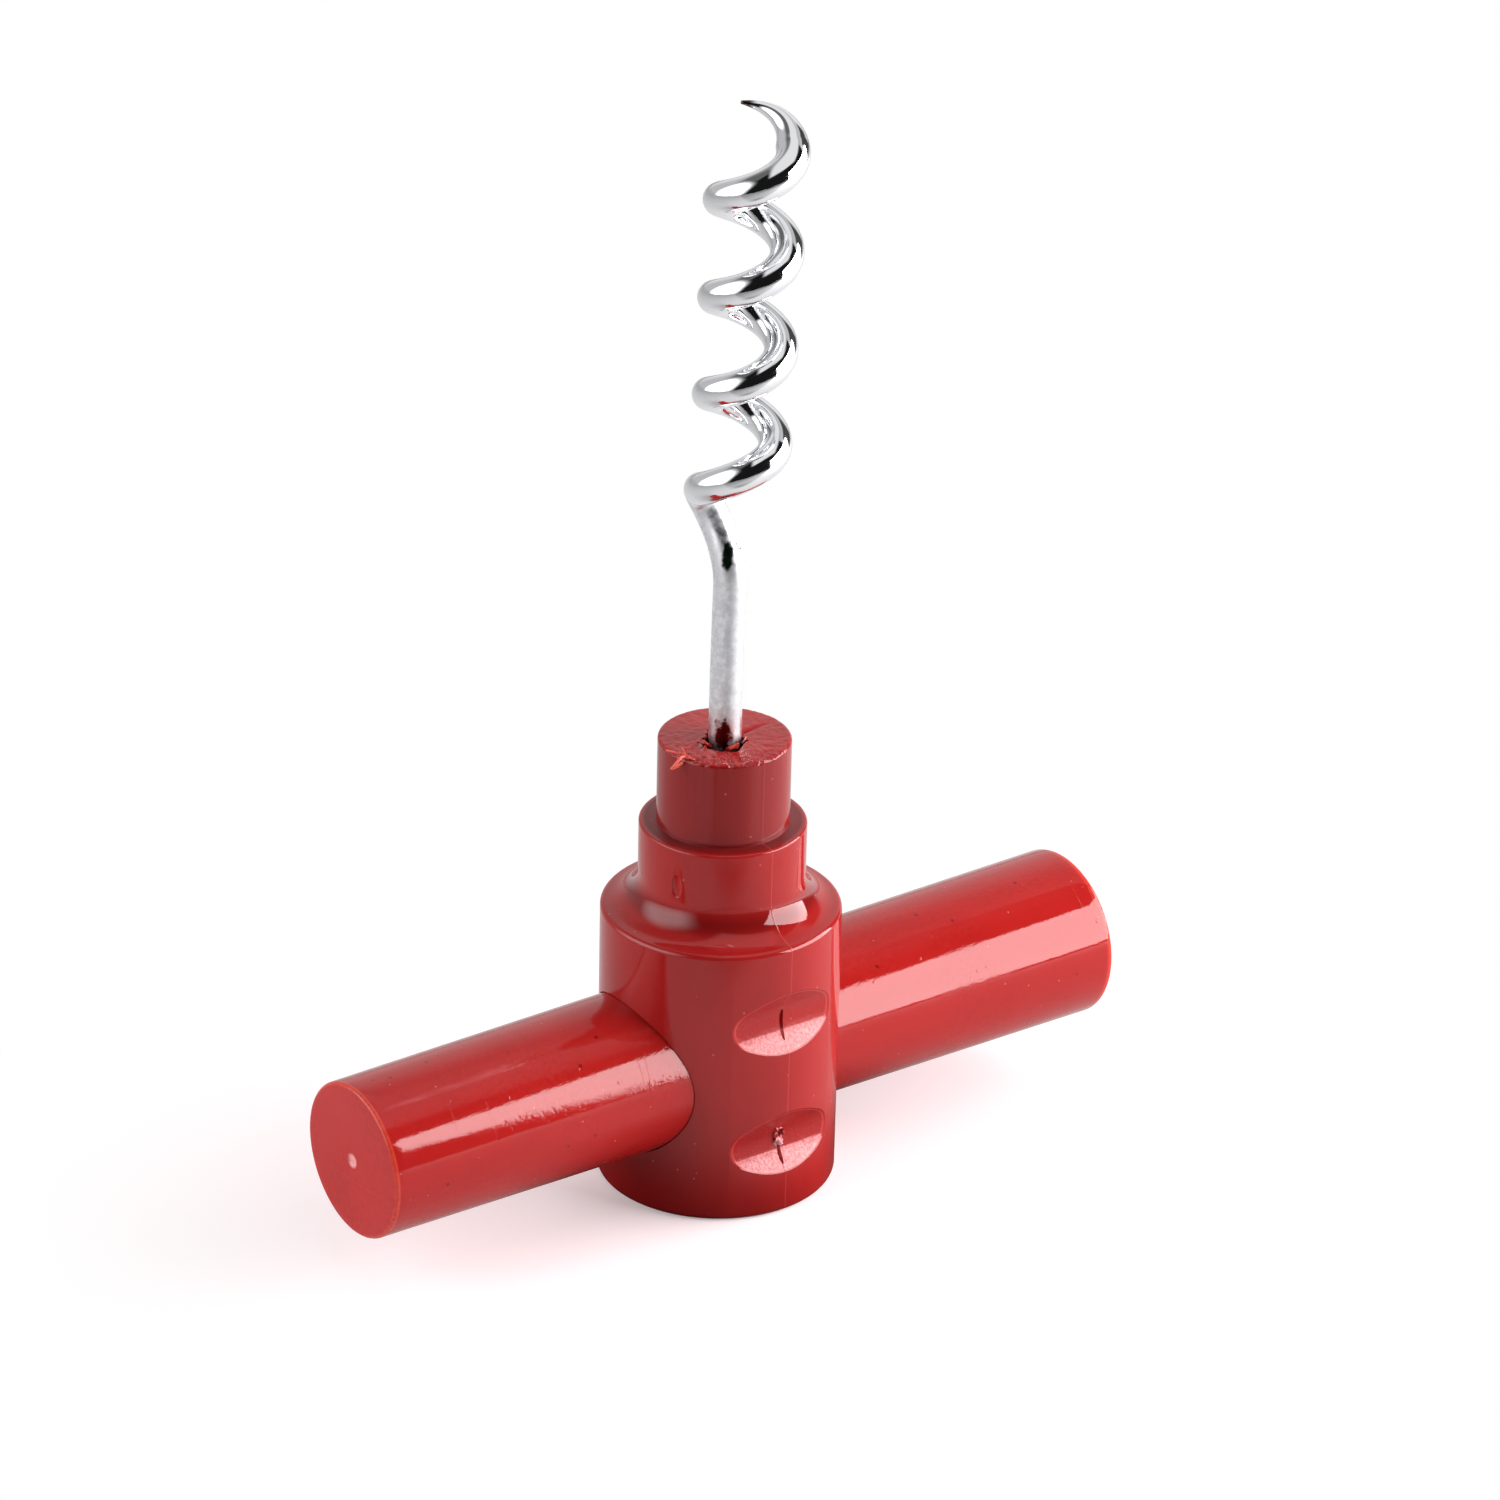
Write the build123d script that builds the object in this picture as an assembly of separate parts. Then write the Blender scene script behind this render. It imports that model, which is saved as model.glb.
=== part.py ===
from build123d import *

import math
import os

# Pocket corkscrew: a moulded hub holds a chromed wire worm. A moulded sheath covers the worm
# in the pocket, and is pushed through the hub as the cross handle for use, as it stands here.
# Millimetres and degrees. Z is the axis of the hub and of the worm, and the base of the hub
# lies on Z = 0. X is the axis of the cross handle, with the mouth of the sheath towards +X.
# The two halves of the hub's mould meet on the plane X = 0.

# --- Wire and worm ---
wire_radius = 1.5
shank_length = 14.9            # straight wire above the plug
bend_rise = 9.1                # end of the shank up to the start of the helix
bend_shank_pull = 4.9          # how far the bend holds to the line of the shank
bend_helix_pull = 4.9          # how far the bend holds to the line of the helix
helix_radius = 3.04            # axis of the helix to the centre of the wire
helix_pitch = 9.11
helix_turns = 3.84
helix_offset = 0.64            # the helix starts a little off the line of the shank
helix_lean = 1.9               # and leans over the same way
helix_lean_direction = -36.3   # about Z, from +X
point_turns = 0.42             # the last part of a turn is ground to a point
point_radius = 0.13
point_set_out = 0.19           # it is ground from inside and below, so the point lies over
point_set_up = 0.27            # to the outer, upper side of the wire

# --- Anchor of the worm, moulded into the hub ---
spade_width = 4.8
spade_thickness = 1.5
spade_length = 4.0
neck_length = 3.0              # over which the round wire is pressed into the flat spade
spade_edge_round = 0.6
spade_cover = 3.0              # plastic between the cross bore and the spade
wire_clearance = 0.02

# --- Plug and collar, on which the sheath is stored ---
plug_radius = 6.04
plug_height = 8.3
plug_edge_round = 0.3
collar_radius = 7.62
collar_height = 8.37           # rim of the body up to the ring that the sheath rests on
collar_edge_round = 0.25

# --- Sheath ---
plug_fit = 0.1                 # round the plug, in the straight seat behind the mouth
seat_spare = 0.3               # the seat runs on past the top of the plug
worm_room = 0.08               # round the widest reach of the worm
tip_room = 10.4                # from the point of the stored worm to the closed end
mouth_wall = 1.84
closed_end_wall = 1.19
closed_end_thickness = 2.0
closed_end_round = 0.35
hollow_end_round = 1.2
lip_round = 0.4
lip_lead_in = 0.3
gate_dimple_radius = 0.7
gate_dimple_depth = 0.25
closed_end_overhang = 28.7     # closed end beyond the side of the hub, pushed home

# --- Body of the hub ---
handle_fit = 0.08              # cross bore round the tapered sheath
side_wall = 3.31               # plastic beside the cross bore
floor_wall = 4.9               # plastic under the cross bore
crown_wall = 6.92              # plastic over the cross bore, up to the rim of the body
base_edge_round = 0.6
rim_edge_round = 0.3

# --- Finger scallops, two at the front and two at the back ---
scallop_depth = 1.45
scallop_slope = 35             # of both flanks, from the side of the hub
scallop_bottom_round = 3.2
scallop_spacing = 12.3
scallop_rise = 0.55            # their middle stands above the axis of the cross bore


def wire_radius_at(turns):
    """Radius of the wire at a number of turns up the helix, less where it is ground."""
    left = helix_turns - turns
    if left >= point_turns:
        return wire_radius
    return point_radius + (wire_radius - point_radius) * left / point_turns


def reach_at(turns):
    """Farthest that the wire stands out from the hub's axis, where a turn faces the lean."""
    lean = helix_offset + turns * helix_pitch * math.tan(math.radians(helix_lean))
    return lean + helix_radius + wire_radius_at(turns)


# --- Worked out from the sizes above: the sheath takes the plug and the worm ---
worm_reach = max(reach_at(turn + 0.5) for turn in range(round(helix_turns)))
worm_stored_length = plug_height + shank_length + bend_rise + helix_turns * helix_pitch
sheath_length = worm_stored_length + tip_room + closed_end_thickness
seat_radius = plug_radius + plug_fit
seat_length = plug_height + seat_spare
end_bore_radius = worm_reach + worm_room
mouth_radius = seat_radius + mouth_wall
closed_end_radius = end_bore_radius + closed_end_wall
sheath_taper = (mouth_radius - closed_end_radius) / sheath_length


def solve_hub_radius():
    """The bore's radius at the hub's axis depends on where the closed end stands, and that
    on the hub's own radius: both are linear, so one division settles them."""
    fixed = closed_end_radius + sheath_taper * closed_end_overhang + handle_fit + side_wall
    return fixed / (1 - sheath_taper)


# --- Worked out: the hub takes the sheath ---
hub_radius = solve_hub_radius()
closed_end_x = -(hub_radius + closed_end_overhang)
bore_radius = closed_end_radius - sheath_taper * closed_end_x + handle_fit
bore_axis_z = floor_wall + bore_radius
rim_z = bore_axis_z + bore_radius + crown_wall
ring_z = rim_z + collar_height
plug_top_z = ring_z + plug_height
spade_bottom_z = bore_axis_z + bore_radius + spade_cover
shank_top_z = plug_top_z + shank_length
helix_start_z = shank_top_z + bend_rise


def round_corners(face, corners):
    """Rounds the corners of a flat outline that are given as ((x, y), radius)."""
    for place, radius in corners:
        corner = face.vertices().sort_by_distance(place)[0]
        face = fillet(corner, radius)
    return face


def hub_profile():
    """Half section of the hub's outside, from the base up over the plug: radius, height."""
    shoulder = hub_radius - collar_radius
    shoulder_top_z = rim_z + shoulder
    outline = [
        Polyline((0, 0), (hub_radius, 0), (hub_radius, rim_z)),
        CenterArc((hub_radius, shoulder_top_z), shoulder, 180, 90),
        Polyline(
            (collar_radius, shoulder_top_z),
            (collar_radius, ring_z),
            (plug_radius, ring_z),
            (plug_radius, plug_top_z),
            (0, plug_top_z),
            (0, 0),
        ),
    ]
    corners = (
        ((hub_radius, 0), base_edge_round),
        ((hub_radius, rim_z), rim_edge_round),
        ((collar_radius, ring_z), collar_edge_round),
        ((plug_radius, plug_top_z), plug_edge_round),
    )
    return round_corners(make_face(outline), corners)


def cross_bore():
    """Tapered hole for the sheath, right through the hub along X."""
    past = hub_radius + side_wall
    grow = sheath_taper * past
    cone = Cone(bore_radius - grow, bore_radius + grow, 2 * past, rotation=(0, 90, 0))
    return Pos(0, 0, bore_axis_z) * cone


def finger_scallops():
    """Bars across the front and the back: each cuts a notch with sloping flanks and a round
    bottom, which runs out to a point at both ends."""
    slope = math.radians(scallop_slope)
    corner_depth = scallop_depth + scallop_bottom_round * (1 / math.cos(slope) - 1)
    half = hub_radius / math.tan(slope)
    wedge = make_face(Polyline((0, 0), (hub_radius, -half), (hub_radius, half), (0, 0)))
    wedge = round_corners(wedge, [((0, 0), scallop_bottom_round)])
    bar = extrude(Plane.YZ * wedge, hub_radius, both=True)
    middle_z = bore_axis_z + scallop_rise
    cutters = []
    for turn in (0, 180):
        for level in (-0.5, 0.5):
            place = Pos(0, hub_radius - corner_depth, middle_z + level * scallop_spacing)
            cutters.append(Rot(0, 0, turn) * place * bar)
    return cutters


def anchor(clearance=0.0):
    """Buried end of the worm: a flat spade, a pressed neck, and the round wire up to the top
    of the plug. The hub's socket is the same shape with the clearance round it."""
    spade = Rectangle(spade_width + 2 * clearance, spade_thickness + 2 * clearance)
    spade = fillet(spade.vertices(), spade_edge_round)
    round_wire = Circle(wire_radius + clearance)
    spade_top_z = spade_bottom_z + spade_length
    neck_top_z = spade_top_z + neck_length
    blade = extrude(Pos(0, 0, spade_bottom_z - clearance) * spade, spade_length + clearance)
    neck = loft([Pos(0, 0, spade_top_z) * spade, Pos(0, 0, neck_top_z) * round_wire])
    wire = extrude(Pos(0, 0, neck_top_z) * round_wire, plug_top_z - neck_top_z)
    return blade + neck + wire


def hub():
    """One moulding: body, shoulder, collar and plug, with the cross bore and scallops."""
    body = revolve(Plane.XZ * hub_profile(), Axis.Z)
    body -= cross_bore()
    for cutter in finger_scallops():
        body -= cutter
    return body - anchor(wire_clearance)


def helix_plane():
    """Where the helix starts: local Z is its leaning axis, local X points at the wire."""
    direction = math.radians(helix_lean_direction)
    lean = math.radians(helix_lean)
    away = Vector(math.cos(direction), math.sin(direction), 0)
    axis = away * math.sin(lean) + Vector(0, 0, math.cos(lean))
    origin = away * helix_offset + Vector(0, 0, helix_start_z)
    return Plane(origin=origin, x_dir=-away, z_dir=axis)


def helix_span(start_turns, end_turns):
    """A stretch of the helix between two numbers of turns from its start."""
    height = (end_turns - start_turns) * helix_pitch
    start = Pos(0, 0, start_turns * helix_pitch) * Rot(0, 0, 360 * start_turns)
    return helix_plane().location * start * Helix(helix_pitch, height, helix_radius)


def worm():
    """Chromed steel wire: anchor, straight shank, bend, helix and ground point."""
    ground_start = helix_turns - point_turns
    coil = helix_span(0, ground_start)
    point = helix_span(ground_start, helix_turns)
    shank_top = Vector(0, 0, shank_top_z)
    bend = Bezier(
        shank_top,
        shank_top + Vector(0, 0, bend_shank_pull),
        coil @ 0 - (coil % 0) * bend_helix_pull,
        coil @ 0,
    )
    shank = Line(Vector(0, 0, plug_top_z), shank_top)
    route = Wire([shank, bend, coil])
    wire = sweep(Plane(shank @ 0, z_dir=shank % 0) * Circle(wire_radius), path=route)
    up = helix_plane().z_dir
    out = (point % 1).cross(up).normalized()
    point_end = point @ 1 + out * point_set_out + up * point_set_up
    ends = (
        Plane(point @ 0, z_dir=point % 0) * Circle(wire_radius),
        Plane(point_end, z_dir=point % 1) * Circle(point_radius),
    )
    tip = sweep(ends, path=point, multisection=True)
    return anchor() + wire + tip


def sheath_profile():
    """Half section of the sheath, from its closed end to its mouth: length, radius. The
    hollow draws in towards the closed end, behind the straight seat for the plug."""
    outline = Polyline(
        (0, 0),
        (0, closed_end_radius),
        (sheath_length, mouth_radius),
        (sheath_length, seat_radius + lip_lead_in),
        (sheath_length - lip_lead_in, seat_radius),
        (sheath_length - seat_length, seat_radius),
        (closed_end_thickness, end_bore_radius),
        (closed_end_thickness, 0),
        (0, 0),
    )
    corners = (
        ((0, closed_end_radius), closed_end_round),
        ((sheath_length, mouth_radius), lip_round),
        ((closed_end_thickness, end_bore_radius), hollow_end_round),
    )
    return round_corners(make_face(outline), corners)


def sheath():
    """One moulding: a tapered tube with a closed end, and the gate's dimple in that end."""
    tube = revolve(sheath_profile(), Axis.X)
    tube -= Cylinder(gate_dimple_radius, 2 * gate_dimple_depth, rotation=(0, 90, 0))
    return Pos(closed_end_x, 0, bore_axis_z) * tube


os.makedirs("parts", exist_ok=True)
export_step(hub(), "parts/hub.step")
export_step(worm(), "parts/worm.step")
export_step(sheath(), "parts/sheath.step")
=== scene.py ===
import math

import bmesh
import bpy
from mathutils import Matrix, Vector, noise


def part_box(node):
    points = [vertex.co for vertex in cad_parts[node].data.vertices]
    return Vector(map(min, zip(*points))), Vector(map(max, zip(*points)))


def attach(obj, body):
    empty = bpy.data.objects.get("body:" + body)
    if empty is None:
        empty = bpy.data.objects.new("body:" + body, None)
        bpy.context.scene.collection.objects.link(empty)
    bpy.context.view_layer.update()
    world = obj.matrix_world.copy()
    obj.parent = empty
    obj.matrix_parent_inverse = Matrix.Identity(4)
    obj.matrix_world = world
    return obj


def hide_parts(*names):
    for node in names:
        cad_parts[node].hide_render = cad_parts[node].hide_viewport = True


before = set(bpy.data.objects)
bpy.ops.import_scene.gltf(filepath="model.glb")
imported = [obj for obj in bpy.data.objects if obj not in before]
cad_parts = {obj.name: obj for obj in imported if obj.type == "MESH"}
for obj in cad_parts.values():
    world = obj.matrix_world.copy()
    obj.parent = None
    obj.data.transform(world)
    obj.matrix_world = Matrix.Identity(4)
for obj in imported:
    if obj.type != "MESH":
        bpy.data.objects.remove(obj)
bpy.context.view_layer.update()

mm = 0.001


# ---- Camera --------------------------------------------------------------------------
# A long lens, a good arm's length off to the front left of the hub and a little above it,
# rolled a touch clockwise. The closed end of the handle points towards it on the left.

view_azimuth = -36.29
view_elevation = 26.3
view_roll = 1.43
view_distance = 600 * mm
aim_right = 2.28 * mm
aim_up = 38.09 * mm
lens_length = 155.55
film_width = 36


def heading(azimuth, elevation):
    """Unit vector away from the hub: azimuth 0 is the front, -Y, and 90 the right, +X."""
    turn = math.radians(azimuth)
    rise = math.radians(elevation)
    flat = math.cos(rise)
    return Vector((math.sin(turn) * flat, -math.cos(turn) * flat, math.sin(rise)))


camera_z = heading(view_azimuth, view_elevation)
across = heading(view_azimuth + 90, 0)
upward = camera_z.cross(across)
tilt = math.radians(view_roll)
camera_x = across * math.cos(tilt) + upward * math.sin(tilt)
camera_y = upward * math.cos(tilt) - across * math.sin(tilt)
stand = across * aim_right + upward * aim_up + camera_z * view_distance

bpy.ops.object.camera_add()
camera = bpy.context.object
camera.name = "camera"
camera.data.sensor_width = film_width
camera.data.lens = lens_length
camera.data.clip_start = 0.05
camera.data.clip_end = 30
turned = Matrix((camera_x, camera_y, camera_z)).transposed().to_4x4()
camera.matrix_world = Matrix.Translation(stand) @ turned
bpy.context.scene.camera = camera
bpy.context.scene.view_settings.view_transform = "Standard"


# ---- Studio --------------------------------------------------------------------------
# A white table in a white corner, open and dark on the side where the camera stands. A
# large soft box stands at the right, a diffusing screen at the left and a white panel
# hangs overhead. A dark stand shows beyond the soft box.

degree = math.pi / 180
light_centre = Vector((0, 0, 40 * mm))
softbox_heading = (56, 18)
softbox_distance = 480 * mm
softbox_half_width = 29 * degree
softbox_half_height = 20 * degree
softbox_brightness = 9.0

# A panel's edges are headings that are square to them and point into the panel.

screen_edges = ((-167, 0), (-53, 0), (68, 88), (-112, -43))
screen_softness = 0.26
screen_brightness = 3.6
ceiling_edges = ((180, 30), (-90, 31), (71, 11), (0, 58))
ceiling_softness = 0.07
ceiling_brightness = 0.80
room_brightness = 0.008

# Headings round the room count to the right from where the camera stands. A pair says from
# where to where something comes in or fades. A ramp of four says that too, and from which
# value to which. The back wall brightens from the left to the right.

left_wall_side = (-36 * degree, -60 * degree, 0.0, 0.5)
left_wall_top = (36 * degree, 54 * degree, 1.0, 0.25)
left_wall_foot = (1.0 * degree, 4.5 * degree, 0.12, 1.0)
back_wall_side = (0.30, 0.34)
back_wall_top = (30 * degree, 54 * degree)
back_wall_low = (-0.75, -0.1, 0.42, 0.82)
back_wall_high = (-0.6, 0.1, 0.12, 0.5)
stand_left = (121 * degree, 124 * degree)
stand_right = (142 * degree, 150 * degree)
stand_top = (38 * degree, 46 * degree)
stand_darkness = 0.93
white = (1, 1, 1, 1)

toward_softbox = heading(*softbox_heading)
softbox_place = light_centre + toward_softbox * softbox_distance
bpy.ops.object.light_add(type="AREA", location=softbox_place)
softbox = bpy.context.object
softbox.name = "right_softbox"
softbox.data.shape = "RECTANGLE"
softbox.data.size = 2 * softbox_distance * math.tan(softbox_half_width)
softbox.data.size_y = 2 * softbox_distance * math.tan(softbox_half_height)
softbox.data.energy = math.pi * softbox.data.size * softbox.data.size_y * softbox_brightness
softbox.rotation_euler = (-toward_softbox).to_track_quat("-Z", "Y").to_euler()
softbox.visible_camera = False


class Finish:
    """The look of the room or of a surface, put together from shader nodes."""

    def __init__(self, owner):
        owner.use_nodes = True
        self.tree = owner.node_tree
        self.skin = self.tree.nodes.get("Principled BSDF")

    def fill(self, node, inputs):
        """Sets a node's inputs, or links them to other nodes' outputs, by name or number."""
        for name, value in dict(inputs).items():
            if isinstance(value, bpy.types.NodeSocket):
                self.tree.links.new(value, node.inputs[name])
            else:
                node.inputs[name].default_value = value

    def node(self, kind, inputs=(), **settings):
        """A new node, with its settings made before its inputs are filled."""
        node = self.tree.nodes.new(kind)
        for name, value in settings.items():
            setattr(node, name, value)
        self.fill(node, inputs)
        return node

    def place(self):
        """Where a point of the piece lies, in metres."""
        return self.node("ShaderNodeTexCoord").outputs["Object"]

    def split(self, vector):
        """The X, Y and Z of a vector."""
        return self.node("ShaderNodeSeparateXYZ", {"Vector": vector}).outputs

    def reckon(self, operation, *values):
        """A reckoning on numbers."""
        node = self.node("ShaderNodeMath", enumerate(values), operation=operation)
        return node.outputs["Value"]

    def times(self, *values):
        """All the values multiplied together."""
        product = values[0]
        for value in values[1:]:
            product = self.reckon("MULTIPLY", product, value)
        return product

    def vector(self, operation, *values):
        """A reckoning on vectors, with its outputs Vector and Value."""
        node = self.node("ShaderNodeVectorMath", enumerate(values), operation=operation)
        return node.outputs

    def ease(self, value, low, high, at_low=0.0, at_high=1.0):
        """Eases from one value to another as an input goes from low to high."""
        inputs = {"Value": value, "From Min": low, "From Max": high}
        inputs.update({"To Min": at_low, "To Max": at_high})
        node = self.node("ShaderNodeMapRange", inputs, interpolation_type="SMOOTHSTEP")
        return node.outputs["Result"]

    def fade(self, value, low, high):
        """Goes from 1 down to 0 as an input goes from low to high."""
        return self.ease(value, low, high, 1.0, 0.0)

    def between(self, share, first, second):
        """A number between two, each given as a number or as a socket."""
        inputs = {"Factor": share, "A": first, "B": second}
        return self.node("ShaderNodeMix", inputs, data_type="FLOAT").outputs["Result"]

    def tint(self, first, second, *shares):
        """A colour with another laid over it, by the product of the shares. A fourth number
        of a colour is one more share."""
        inputs = {}
        for name, colour in (("A", first), ("B", second)):
            if not isinstance(colour, bpy.types.NodeSocket):
                shares += colour[3:]
                colour = (*colour[:3], 1)
            inputs[name] = colour
        inputs["Factor"] = self.times(*shares)
        return self.node("ShaderNodeMix", inputs, data_type="RGBA").outputs["Result"]

    def noise(self, where, scale, detail=2.0, roughness=0.5):
        """Noise over the places given, with so many grains to the metre."""
        inputs = {"Vector": where, "Scale": scale, "Detail": detail, "Roughness": roughness}
        return self.node("ShaderNodeTexNoise", inputs).outputs["Fac"]

    def grain(self, scale, detail=2.0, roughness=0.5, stretch=(1, 1, 1)):
        """Noise over the piece, drawn out along an axis where its share is less than 1."""
        where = self.vector("MULTIPLY", self.place(), stretch)["Vector"]
        return self.noise(where, scale, detail, roughness)

    def bump(self, height, distance, strength, under=None):
        """A surface raised by a height, on top of another one if that is given."""
        inputs = {"Height": height, "Distance": distance, "Strength": strength}
        if under is not None:
            inputs["Normal"] = under
        return self.node("ShaderNodeBump", inputs).outputs["Normal"]


studio = bpy.data.worlds.new("studio")
bpy.context.scene.world = studio
room = Finish(studio)
room.tree.nodes.clear()
sky_place = room.node("ShaderNodeTexCoord").outputs["Generated"]
facing = room.node(
    "ShaderNodeVectorRotate",
    {"Vector": sky_place, "Angle": -math.radians(view_azimuth)},
    rotation_type="Z_AXIS",
)
to_right, to_back, to_top = room.split(facing.outputs["Vector"])
sky_rise = room.reckon("ARCSINE", to_top)
sky_turn = room.reckon("ARCTAN2", to_right, room.times(to_back, -1))


def bright_panel(edges, softness, brightness):
    """A bright field of the sky with soft straight edges."""
    field = brightness
    for edge in edges:
        past = room.vector("DOT_PRODUCT", sky_place, heading(*edge))["Value"]
        field = room.times(room.ease(past, -softness, softness), field)
    return field


screen = bright_panel(screen_edges, screen_softness, screen_brightness)
ceiling = bright_panel(ceiling_edges, ceiling_softness, ceiling_brightness)
walls = room.reckon("MAXIMUM", room.reckon("ADD", screen, ceiling), room_brightness)
left_wall = room.times(
    room.ease(sky_turn, *left_wall_side),
    room.ease(sky_rise, *left_wall_top),
    room.ease(sky_rise, *left_wall_foot),
)
back_low = room.ease(to_right, *back_wall_low)
back_high = room.ease(to_right, *back_wall_high)
back_wall = room.ease(sky_rise, *back_wall_top, back_low, back_high)
back_wall = room.times(room.ease(to_back, *back_wall_side), back_wall)
walls = room.reckon("MAXIMUM", room.reckon("MAXIMUM", walls, left_wall), back_wall)
dark_stand = room.times(
    room.ease(sky_turn, *stand_left),
    room.fade(sky_turn, *stand_right),
    room.fade(sky_rise, *stand_top),
    stand_darkness,
)
seen_light = room.times(walls, room.reckon("SUBTRACT", 1.0, dark_stand))
room_light = room.node("ShaderNodeBackground", {"Color": white, "Strength": seen_light})
backdrop = room.node("ShaderNodeBackground", {"Color": white})
camera_ray = room.node("ShaderNodeLightPath").outputs["Is Camera Ray"]
seen_room = room.node(
    "ShaderNodeMixShader",
    {
        "Fac": camera_ray,
        1: room_light.outputs["Background"],
        2: backdrop.outputs["Background"],
    },
)
room.node("ShaderNodeOutputWorld", {"Surface": seen_room.outputs["Shader"]})

# The table is matt white. Round the hub it keeps the soft shadow, and farther out it runs into
# the white of the backdrop. Its front, towards the camera, lies in the dark of the room: only
# the reflections show that, and little light comes back from there. Round the hub's foot it is
# painted darker for reflections and bounced light, a painted contact shadow, and near the hub
# the camera sees it painted pink, a painted red bounce.

table_size = 8
table_drop = 0.02 * mm
table_white = 0.90
table_reflected = 0.60
table_in_dark = (85 * mm, 125 * mm, 0.17, 0.40)
foot_shadow_painted = (12 * mm, 26 * mm, 0.15, 1.0)
bounced_share = 1.25
bounce_tint_painted = (1.0, 0.87, 0.89)
dark_left = -75
dark_right = 27
dark_reach = (30 * mm, 75 * mm)
shadow_reach = (22 * mm, 70 * mm)
near_glow = 0.30
glow_bounce_tint = (1.0, 0.93, 0.94, 1)

bpy.ops.object.select_all(action="DESELECT")
bpy.ops.mesh.primitive_plane_add(size=table_size, location=(0, 0, -table_drop))
table = bpy.context.object
table.name = "table"
bpy.ops.object.transform_apply(location=True, rotation=False, scale=False)
table_paint = bpy.data.materials.new("table_white")
paint = Finish(table_paint)
paint.tree.nodes.clear()

on_table = paint.place()
dark_sides = []
for square_on in (dark_right - 90, dark_left + 90):
    past = paint.vector("DOT_PRODUCT", on_table, heading(square_on, 0))["Value"]
    dark_sides.append(paint.ease(past, *dark_reach))
from_foot = paint.vector("LENGTH", on_table)["Value"]
in_dark = paint.ease(from_foot, *table_in_dark)
lit_white = paint.between(paint.times(*dark_sides), table_reflected, in_dark)
ray = paint.node("ShaderNodeLightPath").outputs
bounced = paint.times(ray["Is Diffuse Ray"], 1 - bounced_share)
# The table is painted darker round the hub's foot for reflections and bounced light: a painted
# contact shadow.
lit_white = paint.times(
    lit_white,
    paint.ease(from_foot, *foot_shadow_painted),
    paint.reckon("SUBTRACT", 1.0, bounced),
)
seen_white = paint.between(ray["Is Camera Ray"], lit_white, table_white)
# For the camera the table near the hub is painted pink, and so is its glow: painted red bounce
# light.
channels = []
for share in bounce_tint_painted:
    lost = paint.times(ray["Is Camera Ray"], 1 - share)
    channels.append(paint.times(seen_white, paint.reckon("SUBTRACT", 1.0, lost)))
tinted = paint.node("ShaderNodeCombineColor", enumerate(channels)).outputs["Color"]
matt = paint.node("ShaderNodeBsdfDiffuse", {"Color": tinted}).outputs["BSDF"]

glow_strength = paint.times(ray["Is Camera Ray"], near_glow)
glow = paint.node("ShaderNodeEmission", {"Color": glow_bounce_tint, "Strength": glow_strength})
near_table = paint.node("ShaderNodeAddShader", {0: matt, 1: glow.outputs["Emission"]})
far_table = paint.node("ShaderNodeEmission")
fade = paint.times(paint.ease(from_foot, *shadow_reach), ray["Is Camera Ray"])
seen_table = paint.node(
    "ShaderNodeMixShader",
    {"Fac": fade, 1: near_table.outputs["Shader"], 2: far_table.outputs["Emission"]},
)
paint.node("ShaderNodeOutputMaterial", {"Surface": seen_table.outputs["Shader"]})
table.data.materials.append(table_paint)


# ---- Worm ----------------------------------------------------------------------------
# Steel wire, drawn, flattened at its buried end, bent and coiled, ground to a point and
# then bright chromed. The hub is moulded round its flat end, which cannot turn or pull out.

wire_radius = 1.5 * mm
shank_length = 14.9 * mm
shank_bow = 0.15 * mm
bend_rise = 9.1 * mm
bend_shank_pull = 4.9 * mm
bend_helix_pull = 4.9 * mm
helix_radius = 3.04 * mm
helix_pitch = 9.11 * mm
helix_turns = 3.82
helix_offset = 0.64 * mm
helix_lean = 1.9 * degree
lean_heading = -36.3 * degree
first_lift = 0.4 * mm
first_lift_turns = 0.6
first_wide = 0.22 * mm
first_wide_turns = 0.3
point_turns = 0.28
point_radius = 0.15 * mm
point_set_out = 0.88 * mm
point_set_up = 0.16 * mm
point_hump = 0.45 * mm
spade_half_width = 2.4 * mm
spade_half_thickness = 0.75 * mm
spade_length = 4 * mm
neck_length = 3 * mm
straight_steps = 140
bend_steps = 40
heading_turns = 0.001
steps_per_turn = 72

spade_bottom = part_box("worm")[0].z
hub_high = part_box("hub")[1]
plug_top = hub_high.z
shank_top = plug_top + shank_length
neck_top = spade_bottom + spade_length + neck_length

lean_out = Vector((math.cos(lean_heading), math.sin(lean_heading), 0))
helix_axis = lean_out * math.sin(helix_lean) + Vector((0, 0, math.cos(helix_lean)))
helix_base = lean_out * helix_offset + Vector((0, 0, shank_top + bend_rise))
helix_x = (-lean_out - helix_axis * helix_axis.dot(-lean_out)).normalized()
helix_y = helix_axis.cross(helix_x)


def coil_out(turns):
    """Heading from the axis of the helix to the wire, at a number of turns up it."""
    angle = turns * math.tau
    return helix_x * math.cos(angle) + helix_y * math.sin(angle)


def coil_point(turns):
    """Centre of the wire at a number of turns up the helix, which starts a little steep."""
    rise = helix_pitch * turns
    if turns < first_lift_turns:
        rise += first_lift * math.sin(math.pi * turns / first_lift_turns) ** 2
    wide = first_wide * max(0, 1 - turns / first_wide_turns) ** 2
    return helix_base + helix_axis * rise + coil_out(turns) * (helix_radius + wide)


def bezier_point(pulls, share):
    """Point of a cubic curve with four pull points."""
    rest = 1 - share
    first, second, third, last = pulls
    return (
        first * rest**3
        + second * (3 * rest**2 * share)
        + third * (3 * rest * share**2)
        + last * share**3
    )


def select_only(piece):
    """Selects one piece, which the next operators act on."""
    bpy.ops.object.select_all(action="DESELECT")
    piece.select_set(True)
    bpy.context.view_layer.objects.active = piece


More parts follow.
